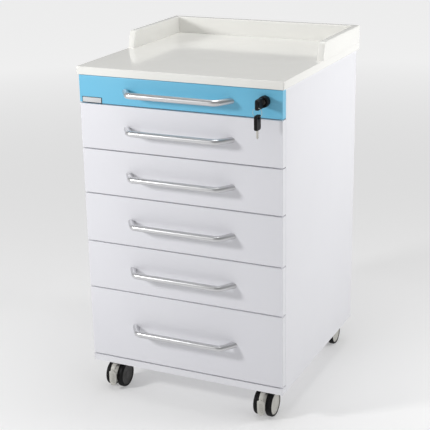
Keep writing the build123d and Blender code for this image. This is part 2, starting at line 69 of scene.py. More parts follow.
# ---------------------------------------------------------------- materials
class Shader:
    """One material with a Principled shader and short calls for the nodes around it."""

    def __init__(self, name, color, roughness, metallic=0.0, **sockets):
        self.material = bpy.data.materials.new(name)
        self.material.use_nodes = True
        self.tree = self.material.node_tree
        self.bsdf = self.tree.nodes["Principled BSDF"]
        self.bsdf.inputs["Base Color"].default_value = (*color, 1)
        self.bsdf.inputs["Roughness"].default_value = roughness
        self.bsdf.inputs["Metallic"].default_value = metallic
        for socket, value in sockets.items():
            self.bsdf.inputs[socket.replace("_", " ")].default_value = value
        self.material.diffuse_color = (*color, 1)
        self.coords = self.node("ShaderNodeTexCoord").outputs["Object"]
        self.color_now = None
        self.height_now = None

    def node(self, kind, **values):
        made = self.tree.nodes.new(kind)
        for key, value in values.items():
            setattr(made, key, value)
        return made

    def link(self, a, b):
        self.tree.links.new(a, b)

    def stretched(self, scale):
        mapping = self.node("ShaderNodeMapping")
        mapping.inputs["Scale"].default_value = scale
        self.link(self.coords, mapping.inputs["Vector"])
        return mapping.outputs["Vector"]

    def noise(self, scale, detail=3.0, rough=0.5, stretch=None):
        made = self.node("ShaderNodeTexNoise")
        made.inputs["Scale"].default_value = scale
        made.inputs["Detail"].default_value = detail
        made.inputs["Roughness"].default_value = rough
        source = self.stretched(stretch) if stretch else self.coords
        self.link(source, made.inputs["Vector"])
        return made.outputs["Fac"]

    def specks(self, scale, size):
        """High where a cell's centre is nearer than size."""
        made = self.node("ShaderNodeTexVoronoi")
        made.inputs["Scale"].default_value = scale
        self.link(self.coords, made.inputs["Vector"])
        return self.remap(made.outputs["Distance"], size * 0.6, size, 1.0, 0.0)

    def remap(self, value, from_low, from_high, to_low, to_high):
        made = self.node("ShaderNodeMapRange")
        made.inputs["From Min"].default_value = from_low
        made.inputs["From Max"].default_value = from_high
        made.inputs["To Min"].default_value = to_low
        made.inputs["To Max"].default_value = to_high
        self.link(value, made.inputs["Value"])
        return made.outputs["Result"]

    def edges(self, start=0.52, full=0.6):
        """High on sharp outward edges."""
        geometry = self.node("ShaderNodeNewGeometry")
        return self.remap(geometry.outputs["Pointiness"], start, full, 0.0, 1.0)

    def tint(self, factor, color, amount=1.0):
        """Mixes a colour over what is there, where factor is high."""
        mix = self.node("ShaderNodeMix", data_type="RGBA")
        if self.color_now is None:
            mix.inputs["A"].default_value = self.bsdf.inputs["Base Color"].default_value
        else:
            self.link(self.color_now, mix.inputs["A"])
        mix.inputs["B"].default_value = (*color, 1)
        self.link(self.remap(factor, 0, 1, 0, amount), mix.inputs["Factor"])
        self.color_now = mix.outputs["Result"]
        self.link(self.color_now, self.bsdf.inputs["Base Color"])

    def vary_roughness(self, factor, lowest, highest):
        self.link(self.remap(factor, 0.3, 0.7, lowest, highest), self.bsdf.inputs["Roughness"])

    def bump(self, height, distance, strength=1.0):
        made = self.node("ShaderNodeBump")
        made.inputs["Distance"].default_value = distance
        made.inputs["Strength"].default_value = strength
        self.link(height, made.inputs["Height"])
        if self.height_now is not None:
            self.link(self.height_now, made.inputs["Normal"])
        self.height_now = made.outputs["Normal"]
        self.link(self.height_now, self.bsdf.inputs["Normal"])


def powder_coat(name, color, shade, edge_highlight):
    """Baked powder coat: orange-peel skin, faint cloudiness, and a painted highlight along sharp edges."""
    s = Shader(name, color, 0.36, Coat_Weight=0.12, Coat_Roughness=0.22)
    s.tint(s.remap(s.noise(5.0, 3), 0.35, 0.7, 0, 1), shade, 0.5)
    # Painted highlight: paler along sharp edges.
    s.tint(s.edges(), edge_highlight, 0.35)
    s.vary_roughness(s.noise(14.0, 4), 0.31, 0.43)
    s.bump(s.noise(1400.0, 2), 0.00004, 0.5)
    s.bump(s.noise(90.0, 2), 0.00006, 0.35)
    return s.material


def stone(name):
    """Cast worktop: polished, with fine quartz grains, soft clouds and a painted highlight along its sharp
    edges.
    """
    s = Shader(name, (0.86, 0.855, 0.82), 0.11, Coat_Weight=0.15, Coat_Roughness=0.025)
    s.tint(s.remap(s.noise(7.0, 5, 0.6), 0.4, 0.7, 0, 1), (0.83, 0.825, 0.79), 0.5)
    s.tint(s.specks(620.0, 0.30), (0.90, 0.895, 0.87), 0.3)
    s.tint(s.specks(430.0, 0.16), (0.74, 0.72, 0.68), 0.25)
    # Painted highlight: paler along the sharp outer edges.
    s.tint(s.edges(0.53, 0.62), (0.90, 0.89, 0.86), 0.2)
    s.vary_roughness(s.noise(35.0, 4), 0.09, 0.16)
    return s.material


def drawn_metal(name, color, roughness, stretch, shade, grain=0.00003):
    """Drawn or brushed metal: fine streaks along the work, and a soft haze."""
    s = Shader(name, color, roughness, 1.0)
    streaks = s.noise(300.0, 3, 0.6, stretch)
    s.tint(s.remap(streaks, 0.35, 0.65, 0, 1), shade, 0.45)
    s.tint(s.remap(s.noise(18.0, 3), 0.45, 0.75, 0, 1), shade, 0.35)
    s.vary_roughness(streaks, roughness * 0.85, roughness * 1.2)
    s.bump(streaks, grain, 0.3)
    return s.material


def zinc(name):
    """Zinc-plated sheet: spangled cells under a thin yellowish haze."""
    s = Shader(name, (0.56, 0.57, 0.58), 0.34, 1.0)
    cells = s.node("ShaderNodeTexVoronoi")
    cells.inputs["Scale"].default_value = 160.0
    s.link(s.coords, cells.inputs["Vector"])
    hue = s.node("ShaderNodeSeparateColor")
    s.link(cells.outputs["Color"], hue.inputs["Color"])
    s.tint(hue.outputs["Red"], (0.66, 0.67, 0.66), 0.5)
    s.tint(s.remap(s.noise(30.0, 4), 0.5, 0.75, 0, 1), (0.50, 0.47, 0.40), 0.35)
    s.vary_roughness(s.noise(60.0, 3), 0.26, 0.42)
    s.bump(s.noise(500.0, 2), 0.00003, 0.3)
    return s.material


def moulded(name, color, light, roughness=0.45, shine=0.4, texture=900.0, depth=0.00005):
    """Moulded plastic: spark-eroded skin, paler where edges have rubbed."""
    s = Shader(name, color, roughness, Specular_IOR_Level=shine)
    s.tint(s.remap(s.noise(40.0, 4), 0.4, 0.7, 0, 1), light, 0.18)
    s.tint(s.edges(), light, 0.5)
    s.vary_roughness(s.noise(70.0, 3), roughness * 0.85, roughness * 1.2)
    s.bump(s.noise(texture, 3), depth, 0.5)
    return s.material


def tyre_rubber(name):
    """Wheel tread: near-black, matte, dusty where it rolls."""
    s = Shader(name, (0.0045, 0.0045, 0.005), 0.55, Specular_IOR_Level=0.18)
    s.tint(s.remap(s.noise(120.0, 5), 0.5, 0.75, 0, 1), (0.02, 0.019, 0.018), 0.5)
    s.tint(s.edges(0.52, 0.58), (0.02, 0.02, 0.02), 0.4)
    s.vary_roughness(s.noise(90.0, 3), 0.45, 0.7)
    s.bump(s.noise(1100.0, 3), 0.00006, 0.6)
    return s.material


# The third colour of each powder coat is a paler tone for its painted edge highlight.
WHITE = powder_coat("white_powder_coat", (0.77, 0.77, 0.81), (0.74, 0.74, 0.785), (0.84, 0.84, 0.86))
BLUE = powder_coat("blue_powder_coat", (0.155, 0.52, 0.75), (0.14, 0.49, 0.72), (0.24, 0.60, 0.80))
STONE = stone("artificial_stone")
HANDLE = drawn_metal("satin_handle_metal", (0.66, 0.66, 0.67), 0.34, (0.02, 1, 1), (0.60, 0.60, 0.61), 2e-6)
PLATE = drawn_metal("nameplate_metal", (0.78, 0.79, 0.80), 0.3, (0.03, 1, 1), (0.66, 0.67, 0.68))
KEY_STEEL = drawn_metal("key_steel", (0.62, 0.60, 0.54), 0.28, (1, 1, 0.05), (0.50, 0.48, 0.42))
ZINC = zinc("zinc_plated_steel")
BLACK = moulded("black_plastic", (0.004, 0.004, 0.0045), (0.02, 0.02, 0.021), 0.4, 0.15)
GREY = moulded("grey_plastic", (0.52, 0.51, 0.47), (0.62, 0.61, 0.58), 0.42)
# A darker copy of the grey plastic: painted shade for the wheel discs that face in under the cabinet.
DISC_PAINTED_SHADE = moulded("grey_plastic_painted_shade", (0.05, 0.048, 0.046), (0.11, 0.11, 0.11), 0.5, 0.3)
TYRE = tyre_rubber("black_tyre")


# ---------------------------------------------------------------- mesh helpers
def finish(name, mesh, material, body, sharp=30.0):
    """Makes the object: smooth shading with sharp edges kept, its material and its body."""
    for polygon in mesh.polygons:
        polygon.use_smooth = True
    mesh.set_sharp_from_angle(angle=radians(sharp))
    mesh.materials.clear()
    mesh.materials.append(material)
    made = bpy.data.objects.new(name, mesh)
    bpy.context.scene.collection.objects.link(made)
    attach(made, body)
    return made


def mesh_from(name, vertices, faces):
    mesh = bpy.data.meshes.new(name)
    mesh.from_pydata([tuple(v) for v in vertices], [], faces)
    work = bmesh.new()
    work.from_mesh(mesh)
    bmesh.ops.remove_doubles(work, verts=work.verts, dist=1e-7)
    bmesh.ops.recalc_face_normals(work, faces=work.faces)
    work.to_mesh(mesh)
    work.free()
    return mesh


def soften(mesh, radius, choose=None, segments=3):
    """Rounds the chosen edges of a mesh, or all that turn by more than 25 degrees."""
    work = bmesh.new()
    work.from_mesh(mesh)
    work.normal_update()
    picked = [
        e
        for e in work.edges
        if len(e.link_faces) == 2
        and e.calc_face_angle() > radians(25)
        and (choose is None or choose(e))
    ]
    bmesh.ops.bevel(
        work,
        geom=picked,
        offset=radius,
        offset_type="OFFSET",
        segments=segments,
        profile=0.5,
        affect="EDGES",
        clamp_overlap=True,
    )
    bmesh.ops.recalc_face_normals(work, faces=work.faces)
    work.to_mesh(mesh)
    work.free()
    return mesh


def box_mesh(name, lo, hi):
    corners = [(x, y, z) for x in (lo[0], hi[0]) for y in (lo[1], hi[1]) for z in (lo[2], hi[2])]
    quads = [(0, 1, 3, 2), (4, 6, 7, 5), (0, 4, 5, 1), (2, 3, 7, 6), (0, 2, 6, 4), (1, 5, 7, 3)]
    return mesh_from(name, corners, quads)


def inset(outline, distance):
    """A closed 2D outline moved inwards by distance, corner by corner."""
    area = sum(a[0] * b[1] - b[0] * a[1] for a, b in zip(outline, outline[1:] + outline[:1]))
    turn = 1 if area > 0 else -1
    result = []
    for i, here in enumerate(outline):
        before = Vector(here) - Vector(outline[i - 1])
        after = Vector(outline[(i + 1) % len(outline)]) - Vector(here)
        before.normalize()
        after.normalize()
        n1 = Vector((-before.y, before.x)) * turn
        n2 = Vector((-after.y, after.x)) * turn
        result.append(tuple(Vector(here) + (n1 + n2) * distance / (1 + n1.dot(n2))))
    return result


def tray_mesh(name, outline, place, depth, wall, floor, hem=0.0, hem_depth=0.0):
    """An open-topped sheet tray. place(u, v, w) gives the point; w runs from the floor's outside
    up to the open side. A hem is a thicker, folded-over strip round the open side."""
    rim = inset(outline, wall + hem)
    inner = inset(outline, wall)
    loops = [(outline, 0.0), (outline, depth), (rim, depth)]
    if hem:
        loops.append((rim, depth - hem_depth))
        loops.append((inner, depth - hem_depth))
    loops.append((inner, floor))
    vertices, faces, count = [], [], len(outline)
    for loop, w in loops:
        vertices += [place(u, v, w) for u, v in loop]
    for k in range(len(loops) - 1):
        for i in range(count):
            j = (i + 1) % count
            faces.append((k * count + i, k * count + j, (k + 1) * count + j, (k + 1) * count + i))
    faces.append(tuple(range(count)))
    faces.append(tuple(range((len(loops) - 1) * count, len(loops) * count)))
    return mesh_from(name, vertices, faces)


def rings_mesh(name, rings, closed=False, caps=True):
    """Skins a row of rings that have the same number of points."""
    count = len(rings[0])
    vertices = [p for ring in rings for p in ring]
    faces = []
    for k in range(len(rings) if closed else len(rings) - 1):
        a, b = k * count, (k + 1) % len(rings) * count
        for i in range(count):
            j = (i + 1) % count
            faces.append((a + i, a + j, b + j, b + i))
    if caps and not closed:
        faces.append(tuple(range(count)))
        faces.append(tuple(range(len(vertices) - count, len(vertices))))
    return mesh_from(name, vertices, faces)


def lathe_mesh(name, profile, place, steps=64, closed=False):
    """Turns a profile of (along, radius) points. place(along, radius, angle) gives the point."""
    rings = []
    for along, radius in profile:
        r = max(radius, 0.02 * MM)
        rings.append([place(along, r, 2 * pi * i / steps) for i in range(steps)])
    return rings_mesh(name, rings, closed, caps=not closed)


def rounded_profile(points, steps=5):
    """Rounds the corners of an open profile. Each point is (along, radius, corner size)."""
    result = []
    for i, (a, r, size) in enumerate(points):
        here = Vector((a, r))
        if not size or i in (0, len(points) - 1):
            result.append((a, r))
            continue
        back = (Vector(points[i - 1][:2]) - here).normalized() * size
        on = (Vector(points[i + 1][:2]) - here).normalized() * size
        for k in range(steps + 1):
            t = k / steps
            result.append(tuple(here + back * (1 - t) ** 2 + on * t ** 2))
    return result


def along_x(centre, side=1):
    """place() for a lathe whose axis is X through centre; side -1 turns it round."""
    return lambda a, r, t: (centre[0] + side * a, centre[1] + r * cos(t), centre[2] + r * sin(t))


def along_y(centre, side=1):
    """place() for a lathe whose axis is Y."""
    return lambda a, r, t: (centre[0] + r * cos(t), centre[1] + side * a, centre[2] + r * sin(t))


def along_z(centre):
    """place() for a lathe whose axis is Z."""
    return lambda a, r, t: (centre[0] + r * cos(t), centre[1] + r * sin(t), centre[2] + a)


def bent_line(corners, radius, steps=10):
    """Points of a line through the corners, with each inner corner rounded to radius."""
    result = [Vector(corners[0])]
    for before, here, after in zip(corners, corners[1:], corners[2:]):
        here = Vector(here)
        back = (Vector(before) - here).normalized()
        on = (Vector(after) - here).normalized()
        half = (pi - back.angle(on)) / 2
        reach = radius * sin(half) / cos(half)
        centre = here + (back + on).normalized() * (radius / cos(half))
        start = here + back * reach - centre
        normal = start.cross(here + on * reach - centre).normalized()
        for k in range(steps + 1):
            result.append(centre + Matrix.Rotation(2 * half * k / steps, 3, normal) @ start)
    result.append(Vector(corners[-1]))
    return result


def tube_rings(points, radius, up, sides=32):
    """Circles square to a line of points; up is a direction that is never along the line."""
    rings = []
    for i, here in enumerate(points):
        tangent = (points[min(i + 1, len(points) - 1)] - points[max(i - 1, 0)]).normalized()
        across = tangent.cross(up).normalized()
        lift = across.cross(tangent)
        rings.append(
            [
                here + (across * cos(2 * pi * k / sides) + lift * sin(2 * pi * k / sides)) * radius
                for k in range(sides)
            ]
        )
    return rings


def cut_plate(name, outlines, thickness, edge, place):
    """A flat plate with rounded edges: the first outline is its rim, the others are holes."""
    curve = bpy.data.curves.new(name + "_outline", "CURVE")
    curve.dimensions = "2D"
    curve.fill_mode = "BOTH"
    curve.extrude = thickness / 2 - edge
    curve.bevel_depth = edge
    curve.bevel_resolution = 3
    curve.offset = -edge
    for outline in outlines:
        spline = curve.splines.new("POLY")
        spline.points.add(len(outline) - 1)
        for point, (u, v) in zip(spline.points, outline):
            point.co = (u, v, 0, 1)
        spline.use_cyclic_u = True
    holder = bpy.data.objects.new(name + "_outline", curve)
    bpy.context.scene.collection.objects.link(holder)
    mesh = bpy.data.meshes.new_from_object(holder)
    bpy.data.objects.remove(holder)
    bpy.data.curves.remove(curve)
    for vertex in mesh.vertices:
        vertex.co = Vector(place(*vertex.co))
    work = bmesh.new()
    work.from_mesh(mesh)
    bmesh.ops.remove_doubles(work, verts=work.verts, dist=1e-6)
    bmesh.ops.recalc_face_normals(work, faces=work.faces)
    work.to_mesh(mesh)
    work.free()
    mesh.name = name
    return mesh


def rounded_rectangle(cx, cy, width, height, radius, steps=6):
    """Outline of a rectangle with round corners, anticlockwise."""
    result = []
    for quadrant, (sx, sy) in enumerate(((1, 1), (-1, 1), (-1, -1), (1, -1))):
        for k in range(steps + 1):
            angle = pi / 2 * (quadrant + k / steps)
            x = cx + sx * (width / 2 - radius) + radius * cos(angle)
            result.append((x, cy + sy * (height / 2 - radius) + radius * sin(angle)))
    return result


def joined(name, meshes):
    """One mesh from several."""
    work = bmesh.new()
    for mesh in meshes:
        work.from_mesh(mesh)
    result = bpy.data.meshes.new(name)
    work.to_mesh(result)
    work.free()
    return result


def dress(node, material, edge):
    """Gives a CAD node that stays in view its material and a fine rounding of its edges."""
    shown = NODES[node]
    shown.data.materials.clear()
    shown.data.materials.append(material)
    bevel = shown.modifiers.new("edges", "BEVEL")
    bevel.width = edge
    bevel.segments = 2
    bevel.limit_method = "ANGLE"
    bevel.angle_limit = radians(50)
    bevel.harden_normals = False


# ---------------------------------------------------------------- worktop
def build_worktop():
    dress("worktop_slab", STONE, 0.9 * MM)
    lo, hi = low("worktop_rim"), high("worktop_rim")
    mesh = rim_mesh(lo, hi, 16 * MM, 13 * MM)
    piece = finish("worktop_rim_stone", mesh, STONE, "cabinet", 40)
    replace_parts(piece, "worktop_rim")


def rim_mesh(lo, hi, thick, slope):
    """The U-shaped upstand: round outer corners, coved inner corners, sloping front ends."""
    outer, cove, steps = 2.5 * MM, 3 * MM, 6

    def corner(cx, cy, radius, start, end):
        return [
            (cx + radius * cos(start + (end - start) * k / steps),
             cy + radius * sin(start + (end - start) * k / steps))
            for k in range(steps + 1)
        ]

    outside = [(lo.x, lo.y)]
    outside += corner(lo.x + outer, hi.y - outer, outer, pi, pi / 2)
    outside += corner(hi.x - outer, hi.y - outer, outer, pi / 2, 0)
    outside += [(hi.x, lo.y)]
    inner_x, inner_y = hi.x - thick, hi.y - thick
    inside = [(lo.x + thick, lo.y)]
    inside += corner(lo.x + thick + cove, inner_y - cove, cove, pi, pi / 2)
    inside += corner(inner_x - cove, inner_y - cove, cove, pi / 2, 0)
    inside += [(inner_x, lo.y)]
    loops = []
    for z, along in ((lo.z, 0.0), (hi.z, slope)):
        for path in (outside, inside):
            moved = [(x, y + (along if i in (0, len(path) - 1) else 0)) for i, (x, y) in enumerate(path)]
            loops.append([(x, y, z) for x, y in moved])
    low_out, low_in, high_out, high_in = loops
    n = len(low_out)
    vertices = low_out + low_in + high_out + high_in
    faces = []
    for i in range(n - 1):
        faces.append((i, i + 1, 2 * n + i + 1, 2 * n + i))
        faces.append((n + i, 3 * n + i, 3 * n + i + 1, n + i + 1))
        faces.append((i, n + i, n + i + 1, i + 1))
        faces.append((2 * n + i, 2 * n + i + 1, 3 * n + i + 1, 3 * n + i))
    faces.append((0, 2 * n, 3 * n, n))
    faces.append((n - 1, 2 * n - 1, 4 * n - 1, 3 * n - 1))
    mesh = mesh_from("worktop_rim_body", vertices, faces)
    top_y = lo.y + slope
    soften(mesh, 6 * MM, lambda e: at(e, "z", hi.z) and at(e, "y", top_y), 6)
    return soften(mesh, 2.2 * MM, lambda e: not at(e, "z", lo.z), 4)


def at(edge, axis, value):
    """Whether both ends of an edge have this x, y or z."""
    return all(abs(getattr(v.co, axis) - value) < 1e-5 for v in edge.verts)


# ---------------------------------------------------------------- cabinet
def build_cabinet():
    for node in ("side_panel_left", "side_panel_right", "back_panel", "base_pan"):
        dress(node, WHITE, 0.5 * MM)
    for node in ("inner_frame", "slide_outer_members", "caster_plates"):
        dress(node, ZINC, 0.25 * MM)
    build_screws()


def build_screws():
    """Pan-head screws with a cross recess, six in the back panel and four in each caster plate."""
    meshes = []
    back = high("back_panel")
    from_edge, from_ends, plate_half = 12 * MM, 15 * MM, 17 * MM
    half, z_low, z_high = back.x - from_edge, low("base_pan").z, back.z
    back_y = high("frame_fasteners").y
    step = (z_high - z_low - 2 * from_ends) / 2
    for x in (-half, half):
        for k in (-1, 0, 1):
            centre = (x, back_y, (z_low + z_high) / 2 + k * step)
            meshes.append(screw_mesh(along_y(centre, -1), 3.6 * MM, 0.9 * MM))
    for tag in CASTERS:
        x, y = swivel(tag)
        for dx in (-plate_half, plate_half):
            for dy in (-plate_half, plate_half):
                centre = (x + dx, y + dy, low("frame_fasteners").z)
                meshes.append(screw_mesh(along_z(centre), 3.2 * MM, 2.6 * MM))
    mesh = joined("frame_fasteners_screws", meshes)
    piece = finish("frame_fasteners_screws", mesh, ZINC, "cabinet", 40)
    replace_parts(piece, "frame_fasteners")


def swivel(tag):
    """x and y of a caster's swivel axis."""
    wheel = middle(f"wheel_{tag}_left")
    hood = middle(f"caster_hood_{tag}")
    trail = 20 * MM if tag.startswith("f") else -20 * MM
    return hood.x, wheel.y + trail


def screw_mesh(place, radius, height):
    """A domed head seen from outside (w = 0), with a cross-shaped recess sunk into it."""
    angles = [2 * pi * k / 32 for k in range(32)]
    tip = 0.02 * MM
    dome = [(height, tip), (height, radius), (0.35 * height, radius)]
    dome += [(0.12 * height, radius * 0.9), (0.0, radius * 0.7)]
    rings = [[place(depth, r, t) for t in angles] for depth, r in dome]

    def cross(t, scale):
        reach = abs(cos(2 * t)) ** 6
        return radius * scale * (0.2 + 0.36 * reach)

    for depth, scale in ((0.0, 1.0), (0.45 * height, 0.85)):
        rings.append([place(depth, cross(t, scale), t) for t in angles])
    rings.append([place(0.5 * height, tip, t) for t in angles])
    return rings_mesh("screw", rings)


# ---------------------------------------------------------------- drawers
def pan_mesh(name, lo, hi, wall, lip_x, lip_z):
    """A folded drawer front: a hollow pan whose back is open inside its returned lips."""
    outer = [(lo.x, lo.z), (hi.x, lo.z), (hi.x, hi.z), (lo.x, hi.z)]
    window = [
        (lo.x + lip_x, lo.z + lip_z),
        (hi.x - lip_x, lo.z + lip_z),
        (hi.x - lip_x, hi.z - lip_z),
        (lo.x + lip_x, hi.z - lip_z),
    ]
    inner = inset(outer, wall)
    loops = [(outer, lo.y), (outer, hi.y), (window, hi.y), (window, hi.y - wall)]
    loops += [(inner, hi.y - wall), (inner, lo.y + wall)]
    vertices, faces = [], [(0, 1, 2, 3), (20, 21, 22, 23)]
    for loop, y in loops:
        vertices += [(x, y, z) for x, z in loop]
    for k in range(5):
        for i in range(4):
            j = (i + 1) % 4
            faces.append((4 * k + i, 4 * k + j, 4 * k + 4 + j, 4 * k + 4 + i))
    return mesh_from(name, vertices, faces)


def build_drawers():
    wall = 1.2 * MM
    for number in DRAWERS:
        body = f"drawer_{number}"
        node = f"drawer_front_{number}"
        lo, hi = low(node), high(node)
        mesh = pan_mesh(node + "_pan", lo, hi, wall, 30 * MM, 7 * MM)
        soften(mesh, 1.3 * MM, lambda e: all(abs(v.co.y - lo.y) < 1e-6 for v in e.verts), 4)
        paint, slot = (BLUE, "blue_powder_coat") if number == 1 else (WHITE, "white_powder_coat")
        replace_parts(finish(node + "_pan", mesh, paint, body), node)

        node = f"drawer_box_{number}"
        lo, hi = low(node), high(node)
        outline = [(lo.x, lo.y), (hi.x, lo.y), (hi.x, hi.y), (lo.x, hi.y)]
        mesh = tray_mesh(
            node + "_steel",
            outline,
            lambda u, v, w, base=lo.z: (u, v, base + w),
            hi.z - lo.z,
            wall,
            wall,
            1.2 * MM,
            9 * MM,
        )
        soften(mesh, 0.5 * MM, None, 2)
        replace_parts(finish(node + "_steel", mesh, WHITE, body), node)
        build_handle(number)
        build_slides(number)


def build_handle(number):
    """A round bar bent back to the drawer front at both ends, each end cut flush."""
    node = f"handle_{number}"
    lo, hi = low(node), high(node)
    mid_z = (lo.z + hi.z) / 2
    radius = (hi.z - lo.z) / 2
    bar_y = lo.y + radius
    flat, foot = 103 * MM, 124 * MM
    corners = [(-foot, FRONT_Y, mid_z), (-flat, bar_y, mid_z), (flat, bar_y, mid_z), (foot, FRONT_Y, mid_z)]
    points = bent_line(corners, 16 * MM, 14)
    rings = tube_rings(points, radius, Vector((0, 0, 1)), 36)
    for ring, inward in ((rings[0], points[1] - points[0]), (rings[-1], points[-2] - points[-1])):
        for k, p in enumerate(ring):
            ring[k] = p + inward * ((FRONT_Y - p.y) / inward.y)
    mesh = rings_mesh(node + "_bar", rings)
    piece = finish(node + "_bar", mesh, HANDLE, f"drawer_{number}", 50)
    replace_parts(piece, node)


def build_slides(number):
    dress(f"slide_mid_{number}", ZINC, 0.25 * MM)
    dress(f"slide_inner_{number}", ZINC, 0.25 * MM)


# ---------------------------------------------------------------- nameplate, lock and keys
def build_nameplate():
    lo, hi = low("nameplate"), high("nameplate")
    centre = (lo + hi) / 2
    size = hi - lo
    flat = rounded_rectangle(0, 0, size.x, size.z, 1 * MM)
    edge = cut_plate(
        "nameplate_edge", [flat], 0.8 * MM, 0.25 * MM,
        lambda u, v, w: (centre.x + u, hi.y - 0.4 * MM + w, centre.z + v),
    )
    piece = finish("nameplate_edge", edge, BLACK, "drawer_1")
    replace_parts(piece, "nameplate")
    face = rounded_rectangle(0, 0, size.x - 2.4 * MM, size.z - 2.4 * MM, 0.6 * MM)
    plate = cut_plate(
        "nameplate_face", [face], 0.7 * MM, 0.2 * MM,
        lambda u, v, w: (centre.x + u, lo.y + 0.36 * MM + w, centre.z + v),
    )
    finish("nameplate_face", plate, PLATE, "drawer_1")


def key_pieces(name, body, node, place, head_l, head_w, head_t, blade_l):
    """A cam-lock key. place(u, v, w): u runs from the head's end to the blade's tip."""
    slot_in, slot_w, slot_l = 3.6 * MM, 4 * MM, 14 * MM
    outline = rounded_rectangle(head_l / 2, 0, head_l, head_w, 5 * MM)
    slot = rounded_rectangle(slot_in + slot_w / 2, 0, slot_w, slot_l, slot_w / 2)
    head = cut_plate(name + "_head", [outline, slot], head_t, 1.2 * MM, place)
    piece = finish(name + "_head", head, BLACK, body, 40)
    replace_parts(piece, node)
    blade_w = 8 * MM
    teeth = [0.0, 0.9, 0.3, 1.4, 0.5, 1.1, 0.2, 0.9]
    edge = [(head_l - 2 * MM, -blade_w / 2), (head_l + blade_l - 2.5 * MM, -blade_w / 2)]
    edge += [(head_l + blade_l, -0.6 * MM), (head_l + blade_l, 0.6 * MM)]
    for k, depth in enumerate(teeth):
        u = head_l + blade_l - 2.5 * MM - k * 1.9 * MM
        edge += [(u, blade_w / 2 - depth * MM), (u - 0.9 * MM, blade_w / 2 - depth * MM)]
    edge += [(head_l - 2 * MM, blade_w / 2)]
    blade = cut_plate(name + "_blade", [edge], 2 * MM, 0.25 * MM, place)
    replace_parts(finish(name + "_blade", blade, KEY_STEEL, body, 40), node)


def build_lock():
    lo, hi = low("lock_barrel"), high("lock_barrel")
    centre = (lo + hi) / 2
    radius = (hi.x - lo.x) / 2
    out = FRONT_Y - lo.y
    collar = [
        (0.0, radius, 0), (out, radius, 3 * MM), (out, 7.6 * MM, 0.8 * MM),
        (out - 1.2 * MM, 7.2 * MM, 0.3 * MM), (out - 1.2 * MM, 6.05 * MM, 0),
        (-20 * MM, 6.05 * MM, 0), (-20 * MM, 8.8 * MM, 0.5 * MM), (0.0, 8.8 * MM, 0),
    ]
    mesh = lathe_mesh(
        "lock_barrel_body", rounded_profile(collar), along_y((centre.x, FRONT_Y, centre.z), -1), 72, True
    )
    piece = finish("lock_barrel_body", mesh, BLACK, "drawer_1", 40)
    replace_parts(piece, "lock_barrel")
    dress("lock_cam", KEY_STEEL, 0.2 * MM)

    lo, hi = low("lock_key"), high("lock_key")
    centre = (lo + hi) / 2
    head_w, head_t, head_l = hi.z - lo.z, hi.x - lo.x, 31.5 * MM
    blade_l = hi.y - lo.y - head_l
    key_pieces(
        "lock_key", "key", "lock_key",
        lambda u, v, w: (centre.x + w, lo.y + u, centre.z + v), head_l, head_w, head_t, blade_l,
    )
    lo_s, hi_s = low("spare_key"), high("spare_key")
    mid = (lo_s + hi_s) / 2
    key_pieces(
        "spare_key", "spare_key", "spare_key",
        lambda u, v, w: (mid.x + w, mid.y + v, hi_s.z - u), head_l, head_w, head_t, blade_l,
    )
    build_ring()


def build_ring():
    """A split ring: two turns of thin wire side by side."""
    lo, hi = low("key_ring"), high("key_ring")
    centre = (lo + hi) / 2
    wire = 0.3 * MM
    radius = (hi.x - lo.x) / 2 - 0.6 * MM
    steps = 96
    points = []
    for k in range(2 * steps + 1):
        angle = 2 * pi * k / steps + pi / 3
        shift = (k / steps - 1) * 2 * wire
        points.append(centre + Vector((radius * cos(angle), shift, radius * sin(angle))))
    mesh = rings_mesh("key_ring_wire", tube_rings(points, wire, Vector((0, 1, 0)), 12))
    piece = finish("key_ring_wire", mesh, KEY_STEEL, "key_ring", 60)
    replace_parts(piece, "key_ring")


# ---------------------------------------------------------------- casters
def build_wheel(tag, word):
    node = f"wheel_{tag}_{word}"
    lo, hi = low(node), high(node)
    centre = (lo + hi) / 2
    width, radius = hi.x - lo.x, (hi.z - lo.z) / 2
    outward = -1 if word == "left" else 1
    base = Vector((lo.x if outward > 0 else hi.x, centre.y, centre.z))
    place = along_x(base, outward)
    groove = 0.45 * MM
    tread = [
        (0.4 * MM, radius - 6 * MM, 0), (0.4 * MM, radius - 1.8 * MM, 1.5 * MM),
        (3 * MM, radius, 1.5 * MM), (width * 0.42, radius, 0), (width * 0.45, radius - groove, 0),
        (width * 0.55, radius - groove, 0), (width * 0.58, radius, 0),
        (width - 3 * MM, radius, 1.5 * MM), (width, radius - 1.8 * MM, 1 * MM),
        (width, radius - 4.2 * MM, 0.5 * MM), (width - 2 * MM, radius - 4.7 * MM, 0),
        (width - 2.4 * MM, radius - 6 * MM, 0),
    ]
    mesh = lathe_mesh(node + "_tread", rounded_profile(tread), place, 96, True)
    piece = finish(node + "_tread", mesh, TYRE, f"wheel_{tag}_{word}", 40)
    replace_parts(piece, node)
    face = radius - 4.8 * MM
    disc = [
        (0.6 * MM, 3.05 * MM, 0), (0.6 * MM, face - 1 * MM, 0), (width - 2.6 * MM, face, 0),
        (width - 1.0 * MM, face - 0.2 * MM, 0.6 * MM), (width - 0.8 * MM, face - 2 * MM, 0.6 * MM),
        (width - 1.9 * MM, face - 2.8 * MM, 0.5 * MM), (width - 2.1 * MM, 9 * MM, 1 * MM),
        (width - 1.2 * MM, 7.5 * MM, 0.6 * MM), (width - 0.7 * MM, 4 * MM, 1 * MM),
        (width - 0.6 * MM, 0.0, 0),
    ]
    # Discs facing in under the cabinet take the darker grey plastic as painted shade; outward discs take
    # the plain grey.
    plastic = GREY if (word == "right") == (tag in ("fr", "rr")) else DISC_PAINTED_SHADE
    mesh = lathe_mesh(node + "_disc", rounded_profile(disc), place, 96)
    piece = finish(node + "_disc", mesh, plastic, f"wheel_{tag}_{word}", 40)
    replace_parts(piece, node)


